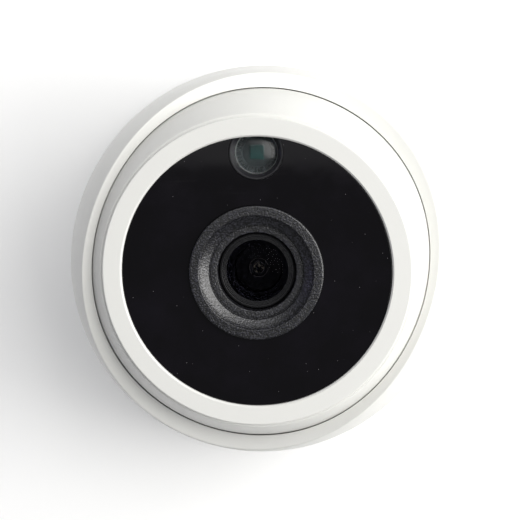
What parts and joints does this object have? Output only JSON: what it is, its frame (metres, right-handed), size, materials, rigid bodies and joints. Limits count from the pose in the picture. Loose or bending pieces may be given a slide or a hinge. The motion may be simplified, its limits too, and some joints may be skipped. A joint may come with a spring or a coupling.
{
  "type": "security camera",
  "caption": "Indoor eyeball security camera: a white conical turret holds a tilting ball with a glossy black window, a textured lens hood, a lens and an infrared LED.",
  "frame": {"origin": "centre of the mounting face, which lies against the ceiling or wall", "axes": "+Z out of the mounting face towards the viewer, +Y towards the top of the picture, +X to its right"},
  "size_m": [0.091, 0.091, 0.0669],
  "materials": {
    "white_plastic": "fine satin moulded ABS, slightly warm white",
    "window_acrylic": "polished black infrared-pass acrylic",
    "hood_plastic": "black, spark-eroded texture",
    "black_plastic": "black moulded nylon",
    "lens_metal": "black anodised",
    "lens_glass": "coated optical glass",
    "led_resin": "clear moulded resin",
    "led_package": "dark LED package with a teal phosphor square",
    "led_holder": "dark grey moulded cup",
    "rubber_black": "black rubber",
    "foam_black": "black closed-cell foam",
    "screw_steel": "zinc-plated steel",
    "spacer_brass": "turned brass",
    "acetal": "natural acetal",
    "board": "green solder mask over fibreglass",
    "led_board_white": "white solder mask over aluminium",
    "chip": "black moulded chips",
    "connector": "cream nylon",
    "copper_wire": "enamelled copper wire",
    "magnet": "dark sintered magnet",
    "filter_glass": "coated filter glass",
    "red_wire": "red PVC insulation",
    "sensor_black": "dark sensor package"
  },
  "bodies": {
    "mount": {"mount_plate": "white_plastic"},
    "base": {"base_ring": "white_plastic", "pan_retainer": "black_plastic", "pan_retainer_screws": "screw_steel", "pan_friction_ring": "rubber_black"},
    "turret": {"turret_housing": "white_plastic", "trunnion_bushes": "acetal"},
    "eyeball": {"eyeball_front_shell": "white_plastic", "eyeball_rear_shell": "white_plastic", "eyeball_screws": "screw_steel", "trunnion_pins": "screw_steel", "tilt_washers": "rubber_black", "cable_gland": "rubber_black"},
    "face": {"bezel_ring": "white_plastic", "roll_retainer": "black_plastic", "roll_retainer_screws": "screw_steel", "roll_friction_ring": "rubber_black", "window": "window_acrylic", "window_tape": "foam_black", "lens_hood": "hood_plastic", "hood_foam_sleeve": "foam_black", "lens_holder": "black_plastic", "sensor_frame": "black_plastic", "lens_holder_screws": "screw_steel", "filter_frame": "black_plastic", "filter_coil": "copper_wire", "filter_yoke": "screw_steel", "image_sensor": "sensor_black", "sensor_glass": "lens_glass", "main_board": "board", "main_board_chips": "chip", "interface_board": "board", "interface_parts": "chip", "board_header": "connector", "cable_socket": "connector", "board_spacers": "spacer_brass", "board_screws": "screw_steel", "led_board": "led_board_white", "led_board_screws": "screw_steel", "array_led": "led_package", "led_lens": "led_resin", "led_cup": "led_holder", "led_plug": "connector", "led_wires": "red_wire"},
    "lens": {"lens_barrel": "lens_metal", "lens_retaining_ring": "lens_metal", "front_lens": "lens_glass", "aperture_ring": "black_plastic", "inner_lens": "lens_glass", "rear_lens": "lens_glass", "lens_lock_ring": "lens_metal"},
    "blade": {"filter_blade": "black_plastic", "ir_cut_filter": "filter_glass", "clear_filter": "filter_glass"},
    "rotor": {"filter_rotor": "magnet"}
  },
  "joints": [
    {"name": "bayonet_twist", "type": "hinge", "parent": "mount", "child": "base", "pos_m": [0, 0, 0], "axis": [0, 0, 1], "range_deg": [-15, 0]},
    {"name": "pan", "type": "hinge", "parent": "base", "child": "turret", "pos_m": [0, 0, 0.02], "axis": [0, 0, 1], "range_deg": [-175, 175]},
    {"name": "tilt", "type": "hinge", "parent": "turret", "child": "eyeball", "pos_m": [0, 0, 0.045], "axis": [0.9272, -0.3746, 0], "range_deg": [-75, 75]},
    {"name": "roll", "type": "hinge", "parent": "eyeball", "child": "face", "pos_m": [0, 0, 0.045], "axis": [-0.0392, -0.0969, 0.9945], "range_deg": [-175, 175]},
    {"name": "focus", "type": "hinge", "parent": "face", "child": "lens", "pos_m": [0, 0, 0.045], "axis": [-0.0392, -0.0969, 0.9945], "range_deg": [-180, 180]},
    {"name": "filter_swing", "type": "hinge", "parent": "face", "child": "rotor", "pos_m": [-0.0001, -0.01223, 0.04682], "axis": [-0.0392, -0.0969, 0.9945], "range_deg": [-56.25, 0]},
    {"name": "filter_slide", "type": "slide", "parent": "face", "child": "blade", "axis": [0.9992, -0.0019, 0.0392], "range_m": [0, 0.0066]}
  ],
  "couplings": [
    {"joint": "filter_swing", "follows": "filter_slide", "rad_per_m": -148.76}
  ]
}
